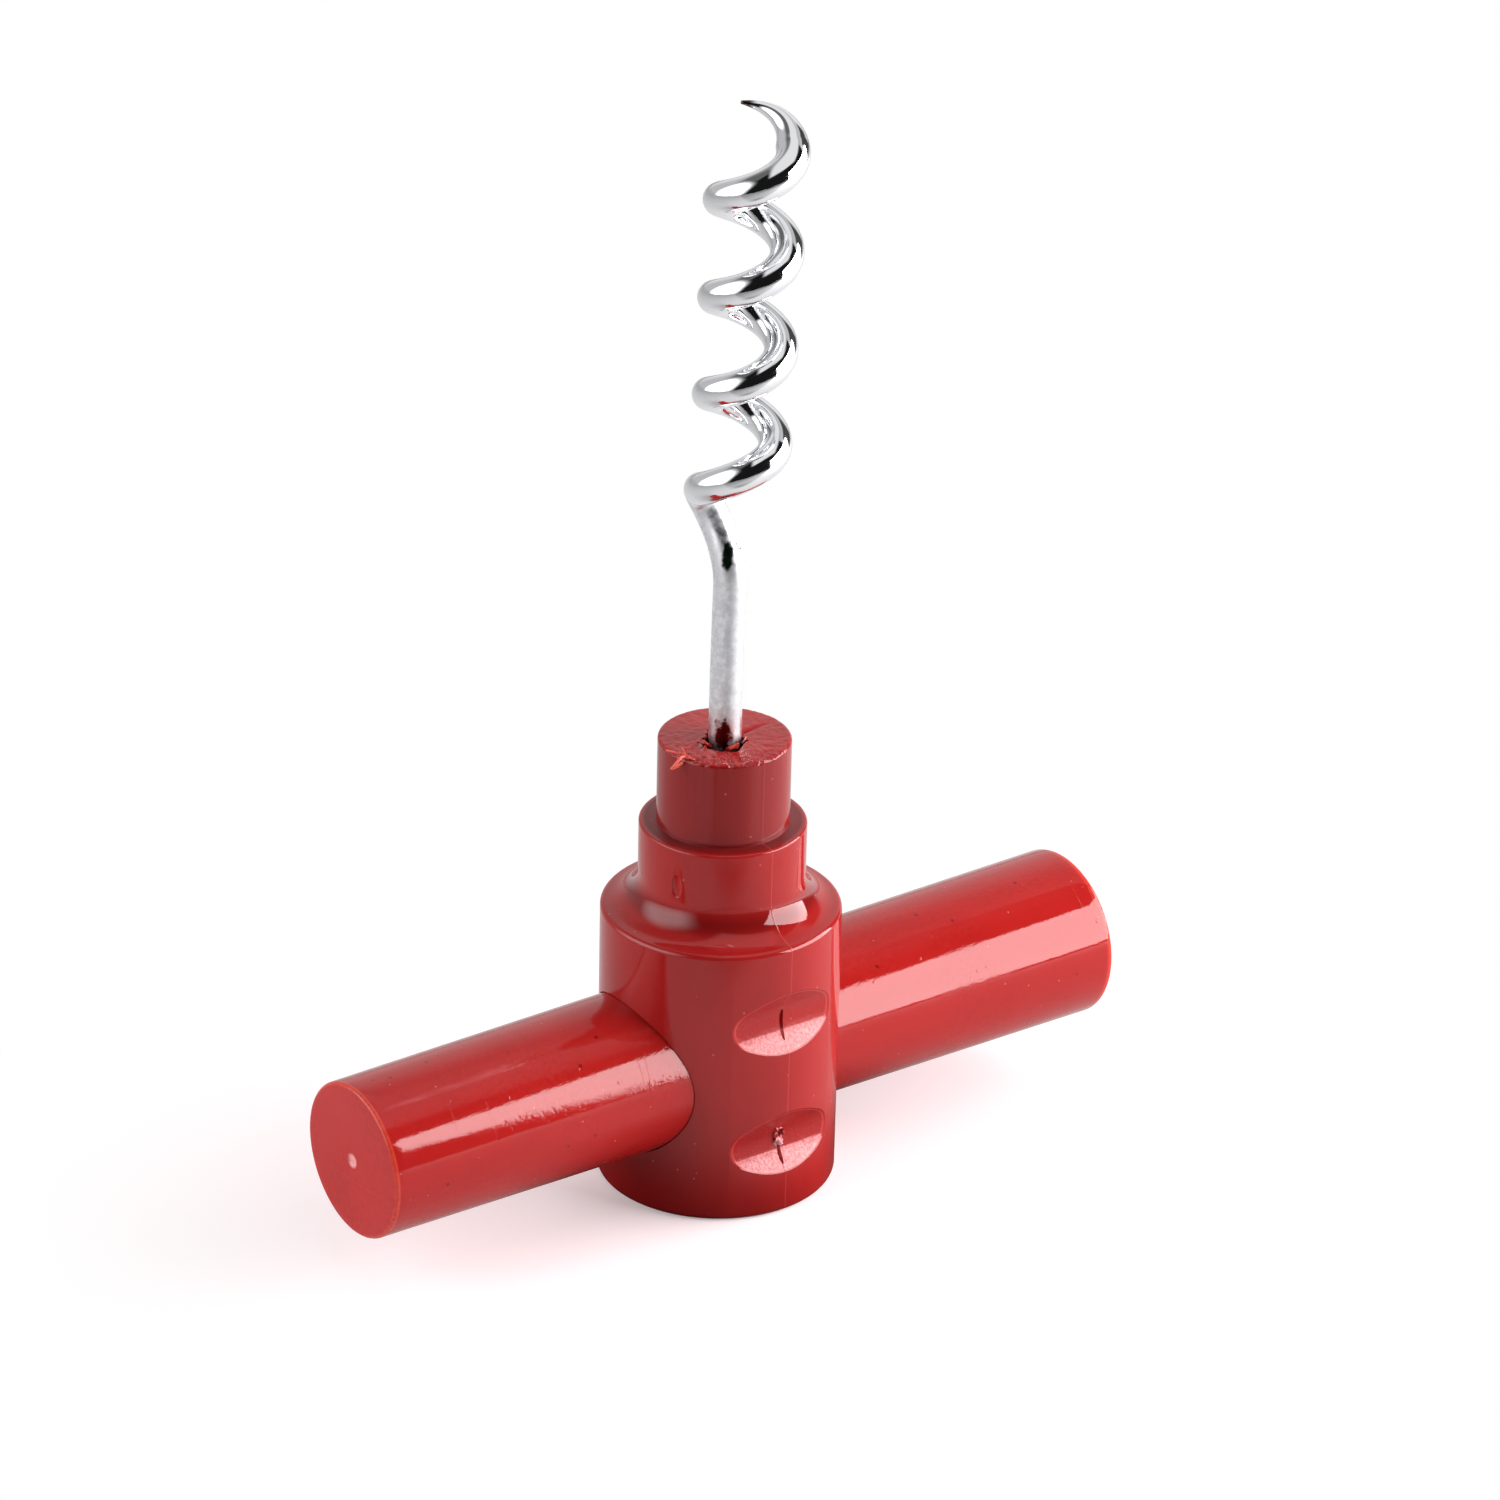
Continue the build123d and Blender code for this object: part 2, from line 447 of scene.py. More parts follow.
def round_bar(name, kind, places, radius, fineness):
    """A closed round bar along a line of places, each given with its share of the radius."""
    line = bpy.data.curves.new(name, "CURVE")
    line.dimensions = "3D"
    line.bevel_depth = radius
    line.bevel_resolution = fineness
    line.use_fill_caps = True
    spline = line.splines.new(kind)
    spline.points.add(len(places) - 1)
    for point, (place, share) in zip(spline.points, places):
        point.co = (*place, 1)
        point.radius = share
    if kind == "NURBS":
        spline.use_endpoint_u = True
        spline.order_u = 3
        spline.resolution_u = 8
    bar = bpy.data.objects.new(name, line)
    bpy.context.scene.collection.objects.link(bar)
    select_only(bar)
    bpy.ops.object.convert(target="MESH")
    bpy.ops.object.mode_set(mode="EDIT")
    bpy.ops.mesh.select_all(action="SELECT")
    bpy.ops.mesh.remove_doubles(threshold=0.001 * mm)
    bpy.ops.mesh.normals_make_consistent(inside=False)
    bpy.ops.object.mode_set(mode="OBJECT")
    bpy.ops.object.shade_smooth()
    return bpy.context.object


coil_start = coil_point(0)
coil_heading = (coil_point(heading_turns) - coil_start).normalized()
bend_start = Vector((0, 0, shank_top)) + lean_out * shank_bow
bend_pulls = (
    bend_start,
    bend_start + Vector((0, 0, bend_shank_pull)),
    coil_start - coil_heading * bend_helix_pull,
    coil_start,
)
route = []
for step in range(straight_steps):
    height = spade_bottom + (shank_top - spade_bottom) * step / straight_steps
    bow = max(0, (height - plug_top) / shank_length) ** 2
    route.append((Vector((0, 0, height)) + lean_out * (shank_bow * bow), 1.0))
for step in range(bend_steps):
    route.append((bezier_point(bend_pulls, step / bend_steps), 1.0))
coil_steps = round(helix_turns * steps_per_turn)
for step in range(coil_steps + 1):
    turns = helix_turns * step / coil_steps
    left = min(1.0, (helix_turns - turns) / point_turns)
    thickness = (point_radius + (wire_radius - point_radius) * left) / wire_radius
    ground_over = (coil_out(turns) * point_set_out + helix_axis * point_set_up) * (1 - left)
    ground_over += helix_axis * (point_hump * math.sin(math.pi * left))
    route.append((coil_point(turns) + ground_over, thickness))
worm = round_bar("corkscrew_worm", "POLY", route, wire_radius, fineness=10)

# The buried end is pressed flat, and a neck runs over into the round wire.

for vertex in worm.data.vertices:
    height = vertex.co.z
    if height < neck_top:
        flat = min(1.0, (neck_top - height) / neck_length)
        vertex.co.x *= 1 + flat * (spade_half_width / wire_radius - 1)
        vertex.co.y *= 1 + flat * (spade_half_thickness / wire_radius - 1)

# The drawing lines follow the wire: along it in whole wire lengths, and round it as a
# circle, so that there is no seam.

plate_bright = (0.935, 0.94, 0.965)
plate_dull = (0.72, 0.72, 0.75)
burnt_black = (0.010, 0.020, 0.013)
foot_reflection_red = (0.11, 0.006, 0.008)
bare_steel = (0.060, 0.045, 0.038)
lines_along = 24
dull_end = (shank_top + 7.2 * mm, shank_top + 9.2 * mm)
dull_roughness = (0.35, 0.65, 0.28, 0.46)
bright_roughness = (0.35, 0.7, 0.03, 0.10)
grey_blotches = (0.36, 0.62)
pit_grains = (0.52, 0.58)
pit_strength = 0.85

bright_chrome = bpy.data.materials.new("bright_chrome")
chrome = Finish(bright_chrome)
wire_lay = chrome.split(chrome.node("ShaderNodeUVMap", uv_map="UVMap").outputs["UV"])
wire_angle = chrome.times(wire_lay["X"], math.tau)
line_place = chrome.node(
    "ShaderNodeCombineXYZ",
    {
        "X": chrome.reckon("COSINE", wire_angle),
        "Y": chrome.reckon("SINE", wire_angle),
        "Z": chrome.times(wire_lay["Y"], lines_along),
    },
).outputs["Vector"]
drawn = chrome.noise(line_place, scale=3.2, detail=3.0)

# The straight shank was held while the coil was polished: its plating is duller and
# blotched. The coil is bright, with only fine drawing lines along it.

spot = chrome.place()
spot_z = chrome.split(spot)["Z"]
dull = chrome.fade(spot_z, *dull_end)
blotch = chrome.noise(spot, scale=1400, detail=4.0, roughness=0.65)
dull_skin = chrome.ease(blotch, *dull_roughness)
bright_skin = chrome.ease(drawn, *bright_roughness)
plate = chrome.tint(plate_bright, plate_dull, chrome.ease(blotch, *grey_blotches), dull)


def chrome_spot(middle, half_sizes, rough_edge, inside, outside):
    """1 within an ellipsoid on the wire with a ragged edge, and 0 away from it."""
    aside = chrome.vector("SUBTRACT", spot, middle)["Vector"]
    away = chrome.vector("LENGTH", chrome.vector("DIVIDE", aside, half_sizes)["Vector"])
    ragged = chrome.reckon("MULTIPLY_ADD", blotch, rough_edge, away["Value"])
    return chrome.fade(ragged, inside, outside)


front = Vector((camera_z.x, camera_z.y, 0)).normalized()


def place_by_wire(forward, aside, height):
    """A place so far towards the camera, so far to where the worm leans, and so high."""
    return front * forward + lean_out * aside + Vector((0, 0, height))


# Where it was held, at the front of the bend, the plating is burnt black, and a rash of small
# dark pits runs beside it. At its foot a dark red patch is painted on, a painted reflection of
# the red plug top with its shade, and at the very point the chrome is worn off dark steel.

burn_sizes = (0.72 * mm, 0.72 * mm, 2.9 * mm)
rash_sizes = (0.8 * mm, 0.8 * mm, 2.6 * mm)
foot_sizes = (1.0 * mm, 1.0 * mm, 2.0 * mm)
tip_sizes = (1.1 * mm, 1.1 * mm, 1.1 * mm)
burn_middle = place_by_wire(0.85 * mm, -0.10 * mm, shank_top + 3.1 * mm)
dark_mark = chrome_spot(burn_middle, burn_sizes, rough_edge=0.9, inside=1.0, outside=1.3)
rash_middle = place_by_wire(0.3 * mm, 0.65 * mm, shank_top + 3.8 * mm)
rash = chrome_spot(rash_middle, rash_sizes, rough_edge=1.0, inside=1.2, outside=1.6)
pits = chrome.ease(chrome.noise(spot, scale=2600), *pit_grains)
marks = chrome.reckon("MAXIMUM", dark_mark, chrome.times(pits, pit_strength, rash))
plate = chrome.tint(plate, burnt_black, marks)
# At the wire's foot a dark red patch is painted: a painted reflection of the red plug top and
# its shade.
foot_middle = place_by_wire(1.2 * mm, -0.15 * mm, plug_top + 0.7 * mm)
foot_reflection = chrome_spot(foot_middle, foot_sizes, rough_edge=1.6, inside=1.40, outside=1.75)
plate = chrome.tint(plate, foot_reflection_red, foot_reflection)
tip_middle = route[-1][0]
bare = chrome_spot(tip_middle, tip_sizes, rough_edge=0.5, inside=0.9, outside=1.5)
plate = chrome.tint(plate, bare_steel, bare)
drawing_lines = chrome.bump(drawn, distance=0.03 * mm, strength=0.10)
chrome.fill(
    chrome.skin,
    {
        "Base Color": plate,
        "Metallic": 1.0,
        "Roughness": chrome.between(dull, bright_skin, dull_skin),
        "Normal": chrome.bump(blotch, 0.02 * mm, dull, under=drawing_lines),
    },
)
worm.data.materials.append(bright_chrome)
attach(worm, "hub_body")
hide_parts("worm")


# ---- Hub -----------------------------------------------------------------------------
# One injection moulding of red polystyrene: a round body with a cross bore, a hollow
# shoulder up to a collar, and the plug over which the sheath is pushed for the pocket.

box_margin = 0.001 * mm
hub_radius = hub_high.x - box_margin
base_round = 0.6 * mm
rim_round = 0.5 * mm
collar_radius = 7.62 * mm
collar_height = 8.37 * mm
collar_round = 0.25 * mm
plug_radius = 6.04 * mm
plug_height = 8.3 * mm
plug_round = 0.3 * mm
foot_round = 0.03 * mm
hole_radius = 1.75 * mm
hole_narrowing = 0.35 * mm
hole_depth = 2.6 * mm
hole_lip = 0.12 * mm
around = 256
around_bore = 192
top_rings = 20
hole_rings = 8
smooth_angle = 28 * degree
slack = 0.01 * mm

sheath_low, sheath_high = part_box("sheath")
sheath_axis = (sheath_low.z + sheath_high.z) / 2
sheath_length = sheath_high.x - sheath_low.x
mouth_radius = (sheath_high.z - sheath_low.z) / 2
closed_end_radius = 7.245 * mm
sheath_taper = (mouth_radius - closed_end_radius) / sheath_length
bore_fit = 0.08 * mm
bore_past = 20 * mm
bore_radius = closed_end_radius - sheath_taper * sheath_low.x + bore_fit


def arc_rings(centre_radius, centre_height, radius, start, end, steps):
    """Rings along an arc of the profile, with its angles in degrees from straight out."""
    rings = []
    for step in range(steps + 1):
        angle = math.radians(start + (end - start) * step / steps)
        ring = centre_radius + radius * math.cos(angle)
        rings.append((ring, centre_height + radius * math.sin(angle)))
    return rings


def turn_solid(name, rings, base, along):
    """A closed round solid on an axis, drawn up ring by ring from a circle on its base."""
    bpy.ops.object.select_all(action="DESELECT")
    first_radius, first_height = rings[0]
    bpy.ops.mesh.primitive_circle_add(
        vertices=around,
        radius=first_radius,
        fill_type="NGON",
        location=base + along * first_height,
        rotation=Vector(along).to_track_quat("Z", "Y").to_euler(),
    )
    solid = bpy.context.object
    solid.name = name
    bpy.ops.object.transform_apply()
    bpy.ops.object.mode_set(mode="EDIT")
    bpy.ops.mesh.select_mode(type="EDGE")
    bpy.ops.mesh.select_all(action="SELECT")
    for (radius, height), (next_radius, next_height) in zip(rings, rings[1:]):
        rise = along * (next_height - height)
        bpy.ops.mesh.extrude_edges_move(TRANSFORM_OT_translate={"value": rise})
        grow = next_radius / radius
        bpy.ops.transform.resize(
            value=[1 if part else grow for part in along],
            center_override=base + along * next_height,
        )
    bpy.ops.mesh.edge_face_add()
    bpy.ops.mesh.select_all(action="SELECT")
    bpy.ops.mesh.normals_make_consistent(inside=False)
    bpy.ops.object.mode_set(mode="OBJECT")
    return solid


def select_edges(piece, test):
    """Goes into edit mode on a piece with just the edges selected that pass a test."""
    select_only(piece)
    bpy.ops.object.mode_set(mode="EDIT")
    bpy.ops.mesh.select_mode(type="EDGE")
    bpy.ops.mesh.select_all(action="DESELECT")
    shape = bmesh.from_edit_mesh(piece.data)
    for edge in shape.edges:
        edge.select_set(test(edge))
    bmesh.update_edit_mesh(piece.data)


def cut_away(piece, cutter):
    """Cuts one solid out of another and removes the cutter."""
    select_only(piece)
    cut = piece.modifiers.new("cut", "BOOLEAN")
    cut.operation = "DIFFERENCE"
    cut.solver = "EXACT"
    cut.object = cutter
    bpy.ops.object.modifier_apply(modifier=cut.name)
    bpy.data.objects.remove(cutter)


def cut_hollow(half_sizes, turned, middle, segments, ring_count):
    """Cuts an ellipsoid out of the hub."""
    bpy.ops.mesh.primitive_uv_sphere_add(segments=segments, ring_count=ring_count, radius=1)
    hollow = bpy.context.object
    hollow.scale = half_sizes
    hollow.rotation_euler = turned
    hollow.location = middle
    bpy.ops.object.transform_apply()
    cut_away(hub, hollow)


shoulder = hub_radius - collar_radius
ring_height = plug_top - plug_height
rim_height = ring_height - collar_height
rim_turn = math.degrees(math.asin(rim_round / (shoulder + rim_round)))
rim_drop = math.sqrt((shoulder + rim_round) ** 2 - rim_round**2)
shoulder_centre = rim_height + shoulder
rim_centre = shoulder_centre - rim_drop
collar_edge = ring_height - collar_round
foot_radius = plug_radius + foot_round
plug_edge = plug_radius - plug_round
hole_edge = hole_radius + hole_lip

hub_rings = arc_rings(hub_radius - base_round, base_round, base_round, -90, 0, steps=6)
hub_rings += arc_rings(hub_radius - rim_round, rim_centre, rim_round, 0, 90 - rim_turn, steps=6)
shoulder_start = 270 - rim_turn
hub_rings += arc_rings(hub_radius, shoulder_centre, shoulder, shoulder_start, 180, steps=28)[1:]
hub_rings += arc_rings(collar_radius - collar_round, collar_edge, collar_round, 0, 90, steps=5)
hub_rings += arc_rings(foot_radius, ring_height + foot_round, foot_round, 270, 180, steps=3)
hub_rings += arc_rings(plug_edge, plug_top - plug_round, plug_round, 0, 90, steps=5)
for step in range(1, top_rings):
    hub_rings.append((plug_edge + (hole_edge - plug_edge) * step / top_rings, plug_top))
hub_rings += arc_rings(hole_edge, plug_top - hole_lip, hole_lip, 90, 180, steps=4)
for step in range(1, hole_rings + 1):
    share = step / hole_rings
    height = plug_top - hole_lip - hole_depth * share
    hub_rings.append((hole_radius - hole_narrowing * share, height))
hub = turn_solid("hub_moulding", hub_rings, Vector((0, 0, 0)), Vector((0, 0, 1)))

# The cross bore tapers as the sheath does, so that the sheath wedges home in it.

bpy.ops.mesh.primitive_cone_add(
    vertices=around_bore,
    radius1=bore_radius - sheath_taper * bore_past,
    radius2=bore_radius + sheath_taper * bore_past,
    depth=2 * bore_past,
    location=(0, 0, sheath_axis),
    rotation=(0, math.pi / 2, 0),
)
cut_away(hub, bpy.context.object)

# Two scallops at the front and two at the back give the fingers a grip. Each is a shallow
# notch across the side, with sloping flanks and a round bottom.

scallop_depth = 1.45 * mm
scallop_spacing = 12.3 * mm
scallop_middle = sheath_axis + 0.55 * mm
flank_slope = 35 * degree
flank_round = 3.2 * mm
flank_tilt = 3.5 * degree
notch_depth = scallop_depth + flank_round * (1 / math.cos(flank_slope) - 1)
bar_past = 4 * mm
bar_depth = notch_depth + bar_past
bar_height = bar_depth / math.tan(flank_slope)
apex_width = flank_round * math.tan(flank_slope)
low_middle = scallop_middle - scallop_spacing / 2
high_middle = scallop_middle + scallop_spacing / 2
scallops = [(side, height) for side in (-1, 1) for height in (low_middle, high_middle)]

for side, height in scallops:
    bpy.ops.mesh.primitive_cylinder_add(
        vertices=4, radius=1, depth=2, rotation=(0, math.pi / 2, 0)
    )
    bar = bpy.context.object
    bpy.ops.object.transform_apply(location=False, rotation=True, scale=False)
    bar.scale = (hub_radius, bar_depth, bar_height)
    bar.location = (0, side * (hub_radius - notch_depth + bar_depth), height)
    bpy.ops.object.transform_apply(location=True, rotation=False, scale=True)
    inner_y = side * (hub_radius - notch_depth)
    select_edges(bar, lambda edge: all(abs(v.co.y - inner_y) < slack for v in edge.verts))
    bpy.ops.mesh.bevel(offset=apex_width, offset_type="OFFSET", segments=40, profile=0.5)
    bpy.ops.mesh.select_all(action="SELECT")
    bpy.ops.transform.rotate(
        value=-side * flank_tilt,
        orient_axis="X",
        center_override=(0, side * hub_radius, height),
    )
    bpy.ops.object.mode_set(mode="OBJECT")
    cut_away(hub, bar)

# The halves of the mould leave a thin slit up the middle of each scallop. In the lower
# front one the gate stands in its way, and the slit is shorter and lies below that. A slit
# is given by its lean, how far down and how far out its middle lies, and its half length.

slit_half_width = 0.21 * mm
slit_half_depth = 0.45 * mm
plain_slit = (12 * degree, 0.2 * mm, 0.12 * mm, 1.95 * mm)
slit_below_gate = (26 * degree, 1.5 * mm, 0.32 * mm, 1.35 * mm)

for side, height in scallops:
    has_gate = side < 0 and height < scallop_middle
    lean, drop, out, half_length = slit_below_gate if has_gate else plain_slit
    slit_middle = (0, side * (hub_radius - scallop_depth + out), height - drop)
    slit_sizes = (slit_half_width, slit_half_depth, half_length)
    cut_hollow(slit_sizes, (side * lean, 0, 0), slit_middle, segments=16, ring_count=24)

# The hub's gate was broken off in the lower front scallop: it left a ring with a hollow in
# it, and crumbs just below. A crumb is given in millimetres, by how far aside and down from
# the gate it lies and by its radius.

gate_z = low_middle + 0.6 * mm
gate_y = -(hub_radius - scallop_depth)
crater_radius = 0.42 * mm
crater_out = 0.22 * mm
gate_ring_radius = 0.52 * mm
gate_ring_thickness = 0.15 * mm
gate_ring_out = 0.05 * mm
gate_ring_turn = 95 * degree
crumb_out = 0.1 * mm
gate_crumbs = ((0.08, 0.85, 0.34), (-0.28, 0.62, 0.22), (0.26, 1.15, 0.26))
crumb_middle = (0, gate_y - 0.3 * mm, gate_z - 0.9 * mm)
waste_shift = 0.16 * mm
waste_grain = 0.24 * mm
crater_middle = (0, gate_y - crater_out, gate_z)
crater_sizes = (crater_radius, crater_radius, crater_radius)
cut_hollow(crater_sizes, (0, 0, 0), crater_middle, segments=24, ring_count=16)

# The collar has a small dent from a knock.

dent_turn = 22.4 * degree
dent_height = 31.9 * mm
dent_sizes = (0.16 * mm, 0.56 * mm, 1.15 * mm)
dent_x = -collar_radius * math.cos(dent_turn)
dent_y = -collar_radius * math.sin(dent_turn)
dent_middle = (dent_x, dent_y, dent_height)
cut_hollow(dent_sizes, (0, 0, dent_turn), dent_middle, segments=32, ring_count=24)

# The rims of the scallops are a little rounded, so that they catch a line of light.

scallop_rim = 0.24 * mm
sharp_fold = 11 * degree
clear_of_axis = 8 * mm
clear_of_rim = 1 * mm


def on_scallop_rim(edge):
    """Whether an edge lies on the side of the hub where a scallop breaks it."""
    if len(edge.link_faces) != 2 or edge.calc_face_angle() < sharp_fold:
        return False
    middle = (edge.verts[0].co + edge.verts[1].co) / 2
    if abs(middle.y) < clear_of_axis or middle.z > rim_height - clear_of_rim:
        return False
    return all(v.co.xy.length > hub_radius - 2 * slack for v in edge.verts)


select_edges(hub, on_scallop_rim)
bpy.ops.mesh.bevel(offset=scallop_rim, offset_type="OFFSET", segments=3, clamp_overlap=True)
bpy.ops.object.mode_set(mode="OBJECT")

# Round the wire the plug is torn open, more so at the front, and its top is crinkled where
# the hot plastic was trimmed: creases run out along the parting of the mould. A wave of
# the torn edge is given by how far it goes, how often it comes and how coarse it is.

torn_wide = 1.5 * mm
torn_fade = 2.6 * mm
torn_wall = 0.6 * mm
torn_waves = ((0.45 * mm, 2, 1.1), (0.40 * mm, 5, 1.0), (0.15 * mm, 14, 1.0))
crinkle_deep = 0.12 * mm
crinkle_coarse = 0.42 * mm
crinkle_fine = 0.2 * mm
crinkle_start = 3.6 * mm
crinkle_full = 5.1 * mm
crinkle_inside = 0.3
crinkle_at_rim = 1.5
crinkle_sink = 0.55
fine_share = 0.6
crease_deep = 0.30 * mm
crease_wide = 0.24 * mm
crease_reach = 3.4 * mm
crease_wander = 3 * mm
crease_bend = 0.25


def crinkle(spot, fine):
    """Smooth noise from -1 to 1, with its grain in the units of the place."""
    return noise.noise(spot / fine)


def clamped(share):
    """A share held between 0 and 1."""
    return min(1.0, max(0.0, share))


for vertex in hub.data.vertices:
    place = vertex.co
    ring = place.xy.length
    if place.z < plug_top - hole_lip - hole_depth + slack or ring > plug_radius + slack:
        continue
    if ring > hole_radius + torn_wall and place.z < plug_top - plug_round - slack:
        continue
    outward = Vector((place.x, place.y, 0)).normalized()
    faces_front = max(0.0, outward.dot(front))
    sunk = clamped((plug_top - place.z) / hole_depth)
    fade = max(0.0, 1 - (ring - hole_radius) / torn_fade) ** 2 * (1 - sunk)
    torn = torn_wide * faces_front**2
    for far, often, coarse in torn_waves:
        torn += far * crinkle(outward * often, coarse)
    push = outward * (torn * min(1.0, fade))
    near_rim = clamped((ring - crinkle_start) / (crinkle_full - crinkle_start)) * faces_front
    deep = crinkle_deep * (crinkle_inside + (crinkle_at_rim - crinkle_inside) * near_rim)
    lift = crinkle(place, crinkle_coarse) + fine_share * crinkle(place, crinkle_fine)
    off_line = place.y - crease_bend * place.x * crinkle(place, crease_wander)
    on_line = math.exp(-((off_line / crease_wide) ** 2))
    crease = crease_deep * on_line * max(0.0, 1 - (ring - hole_radius) / crease_reach)
    lift = (deep * (lift - crinkle_sink) - crease) * (1 - sunk)
    vertex.co = place + push + Vector((0, 0, min(0.0, lift)))

# The ring round the broken gate, and the crumbs below it, stand up from the scallop.

bpy.ops.mesh.primitive_torus_add(
    major_segments=40,
    minor_segments=12,
    major_radius=gate_ring_radius,
    minor_radius=gate_ring_thickness,
    location=(0, gate_y - gate_ring_out, gate_z),
    rotation=(gate_ring_turn, 0, 0),
)
gate_waste = [bpy.context.object]
for aside, drop, size in gate_crumbs:
    bpy.ops.mesh.primitive_ico_sphere_add(
        subdivisions=4,
        radius=size * mm,
        location=(aside * mm, gate_y - crumb_out, gate_z - drop * mm),
    )
    gate_waste.append(bpy.context.object)
for piece in gate_waste:
    select_only(piece)
    bpy.ops.object.transform_apply()
    for vertex in piece.data.vertices:
        shift = waste_shift * crinkle(vertex.co, waste_grain)
        vertex.co += vertex.normal * shift
    bpy.ops.object.shade_smooth()

# Slivers of flash stand at the torn edge, and hairs of it hang over the rim. Each sliver is
# given by its place over the plug, its heading, and its thickness, width and length, and
# each hair by its thickness and its places. All of these are millimetres and degrees.

sliver_taper = 0.75
sliver_bend = 0.25
sliver_smooth = 40 * degree
slivers = (
    ((2.0, 0.6, -0.30), (-10, 26), (0.35, 0.95, 1.7)),
    ((2.4, 0.2, -0.2), (40, 25), (0.25, 0.45, 0.9)),
    ((1.5, -1.3, -0.3), (-80, 30), (0.25, 0.5, 1.1)),
    ((0.8, 1.6, -0.4), (70, 50), (0.2, 0.3, 0.8)),
    ((1.2, -1.9, -0.3), (-110, 20), (0.2, 0.5, 0.7)),
    ((2.9, -0.7, -0.2), (-20, 15), (0.15, 0.3, 0.6)),
)
curl = (
    (4.4, -3.4, 0),
    (4.9, -3.7, 0.25),
    (5.5, -4.1, 0.1),
    (5.7, -4.5, -0.5),
    (5.2, -4.7, -0.9),
    (5.0, -4.2, -0.8),
    (5.1, -3.7, -0.3),
)
hook = ((4.6, -3.0, 0.02), (4.5, -3.6, 0.3), (4.2, -4.4, 0.25), (4.0, -5.2, 0.35))
whisker = ((4.7, -3.4, 0.05), (4.2, -3.5, 0.4), (3.6, -3.9, 0.55))
spur = ((4.8, -3.5, 0.0), (4.9, -3.0, 0.22), (5.1, -2.6, -0.05))
hairs = (
    ("curl", 0.13, curl),
    ("hook", 0.09, hook),
    ("whisker", 0.07, whisker),
    ("spur", 0.10, spur),
)


def over_plug(along, aside, height):
    """A place over the top of the plug, from three numbers in millimetres."""
    return place_by_wire(along * mm, aside * mm, plug_top + height * mm)


def flash_sliver(place, toward, size):
    """A thin chip of plastic that tapers and bends over, from a place towards a heading."""
    length = size.z
    bpy.ops.mesh.primitive_cube_add(size=1)
    chip = bpy.context.object
    chip.scale = size
    bpy.ops.object.transform_apply(location=False, rotation=False, scale=True)
    bpy.ops.object.mode_set(mode="EDIT")
    bpy.ops.mesh.select_all(action="SELECT")
    bpy.ops.mesh.subdivide(number_cuts=3)
    bpy.ops.object.mode_set(mode="OBJECT")
    for vertex in chip.data.vertices:
        share = vertex.co.z / length + 0.5
        slim = 1 - sliver_taper * share**2
        vertex.co.x = vertex.co.x * slim + sliver_bend * length * share**2
        vertex.co.y *= slim
    chip.rotation_euler = toward.to_track_quat("Z", "X").to_euler()
    chip.location = place + toward * (length / 2)
    bpy.ops.object.transform_apply()
    bpy.ops.object.shade_smooth_by_angle(angle=sliver_smooth)
    return chip


flash = []
for place, toward, size in slivers:
    flash.append(flash_sliver(over_plug(*place), heading(*toward), Vector(size) * mm))
for name, thickness, places in hairs:
    path = [(over_plug(*place), 1.0) for place in places]
    flash.append(round_bar(name, "NURBS", path, thickness * mm, fineness=3))
select_only(hub)
for piece in flash + gate_waste:
    piece.select_set(True)
bpy.ops.object.join()
bpy.ops.object.shade_smooth_by_angle(angle=smooth_angle)

# A glossy red, slightly marbled by the flow, on which the mould's parting shows as a hair line.
# The plug is painted a darker red, as painted shade, and so are the hollow of the shoulder and
# the ledge round the plug's foot; the plug's top is painted a stronger red and is dull, and
# down in the torn opening round the wire the plastic is dark brown.
# The lower flank of each scallop is frosted, and its pale pink is partly a painted sheen; a
# band inside the rounded rim is painted lighter, a painted highlight line.

plastic_surface = {"IOR": 1.5, "Specular Tint": (1.0, 0.84, 0.85, 1)}
hub_reds = ((0.315, 0.0105, 0.0105), (0.37, 0.014, 0.0125))
plug_shade_reds = ((0.205, 0.007, 0.007), (0.25, 0.009, 0.0085))
hollow_shade_red = (0.13, 0.004, 0.004, 0.95)
ledge_shade_red = (0.13, 0.003, 0.003, 0.8)
opening_dark_brown = (0.022, 0.001, 0.0012)
top_red = (0.36, 0.008, 0.008, 0.85)
flash_backlit_red = (0.85, 0.13, 0.085)
rim_highlight_red = (0.70, 0.08, 0.07, 0.5)
seam_red = (0.72, 0.09, 0.08)
speck_pink = (0.75, 0.16, 0.14, 0.4)
frost_sheen_pink = (0.85, 0.28, 0.29)
crumb_highlight_pink = (0.85, 0.42, 0.46, 0.70)
cells_with_speck = (0.86, 0.87)
speck_softness = 1.6
marbled = (0.3, 0.7)
hub_roughness = (0.3, 0.7, 0.04, 0.08)
hollow_bottom = (rim_height + 0.3 * mm, rim_height + 1.2 * mm)
hollow_top = (rim_height + 1.2 * mm, rim_height + 3.2 * mm)
hollow_side = (collar_radius + 0.1 * mm, collar_radius + 1.9 * mm)
plug_bottom = (ring_height - 0.05 * mm, ring_height + 0.1 * mm)
ledge_edge = collar_radius - collar_round
ledge_side = (ledge_edge - 0.35 * mm, ledge_edge)
ledge_depth = (0.02 * mm, 0.5 * mm)
opening_reach = (3.0 * mm, 3.9 * mm)
opening_heights = (plug_top - 0.9 * mm, plug_top - 0.12 * mm)
top_heights = (plug_top - 0.32 * mm, plug_top - 0.1 * mm)
over_top = (plug_top + 0.02 * mm, plug_top + 0.06 * mm, 0.0, 0.6)
over_rim = (plug_radius + 0.02 * mm, plug_radius + 0.06 * mm)
over_rim_bottom = (plug_top - 2 * mm, plug_top - 1.9 * mm)
scallop_side = (hub_radius - 0.16 * mm, hub_radius - 0.05 * mm)
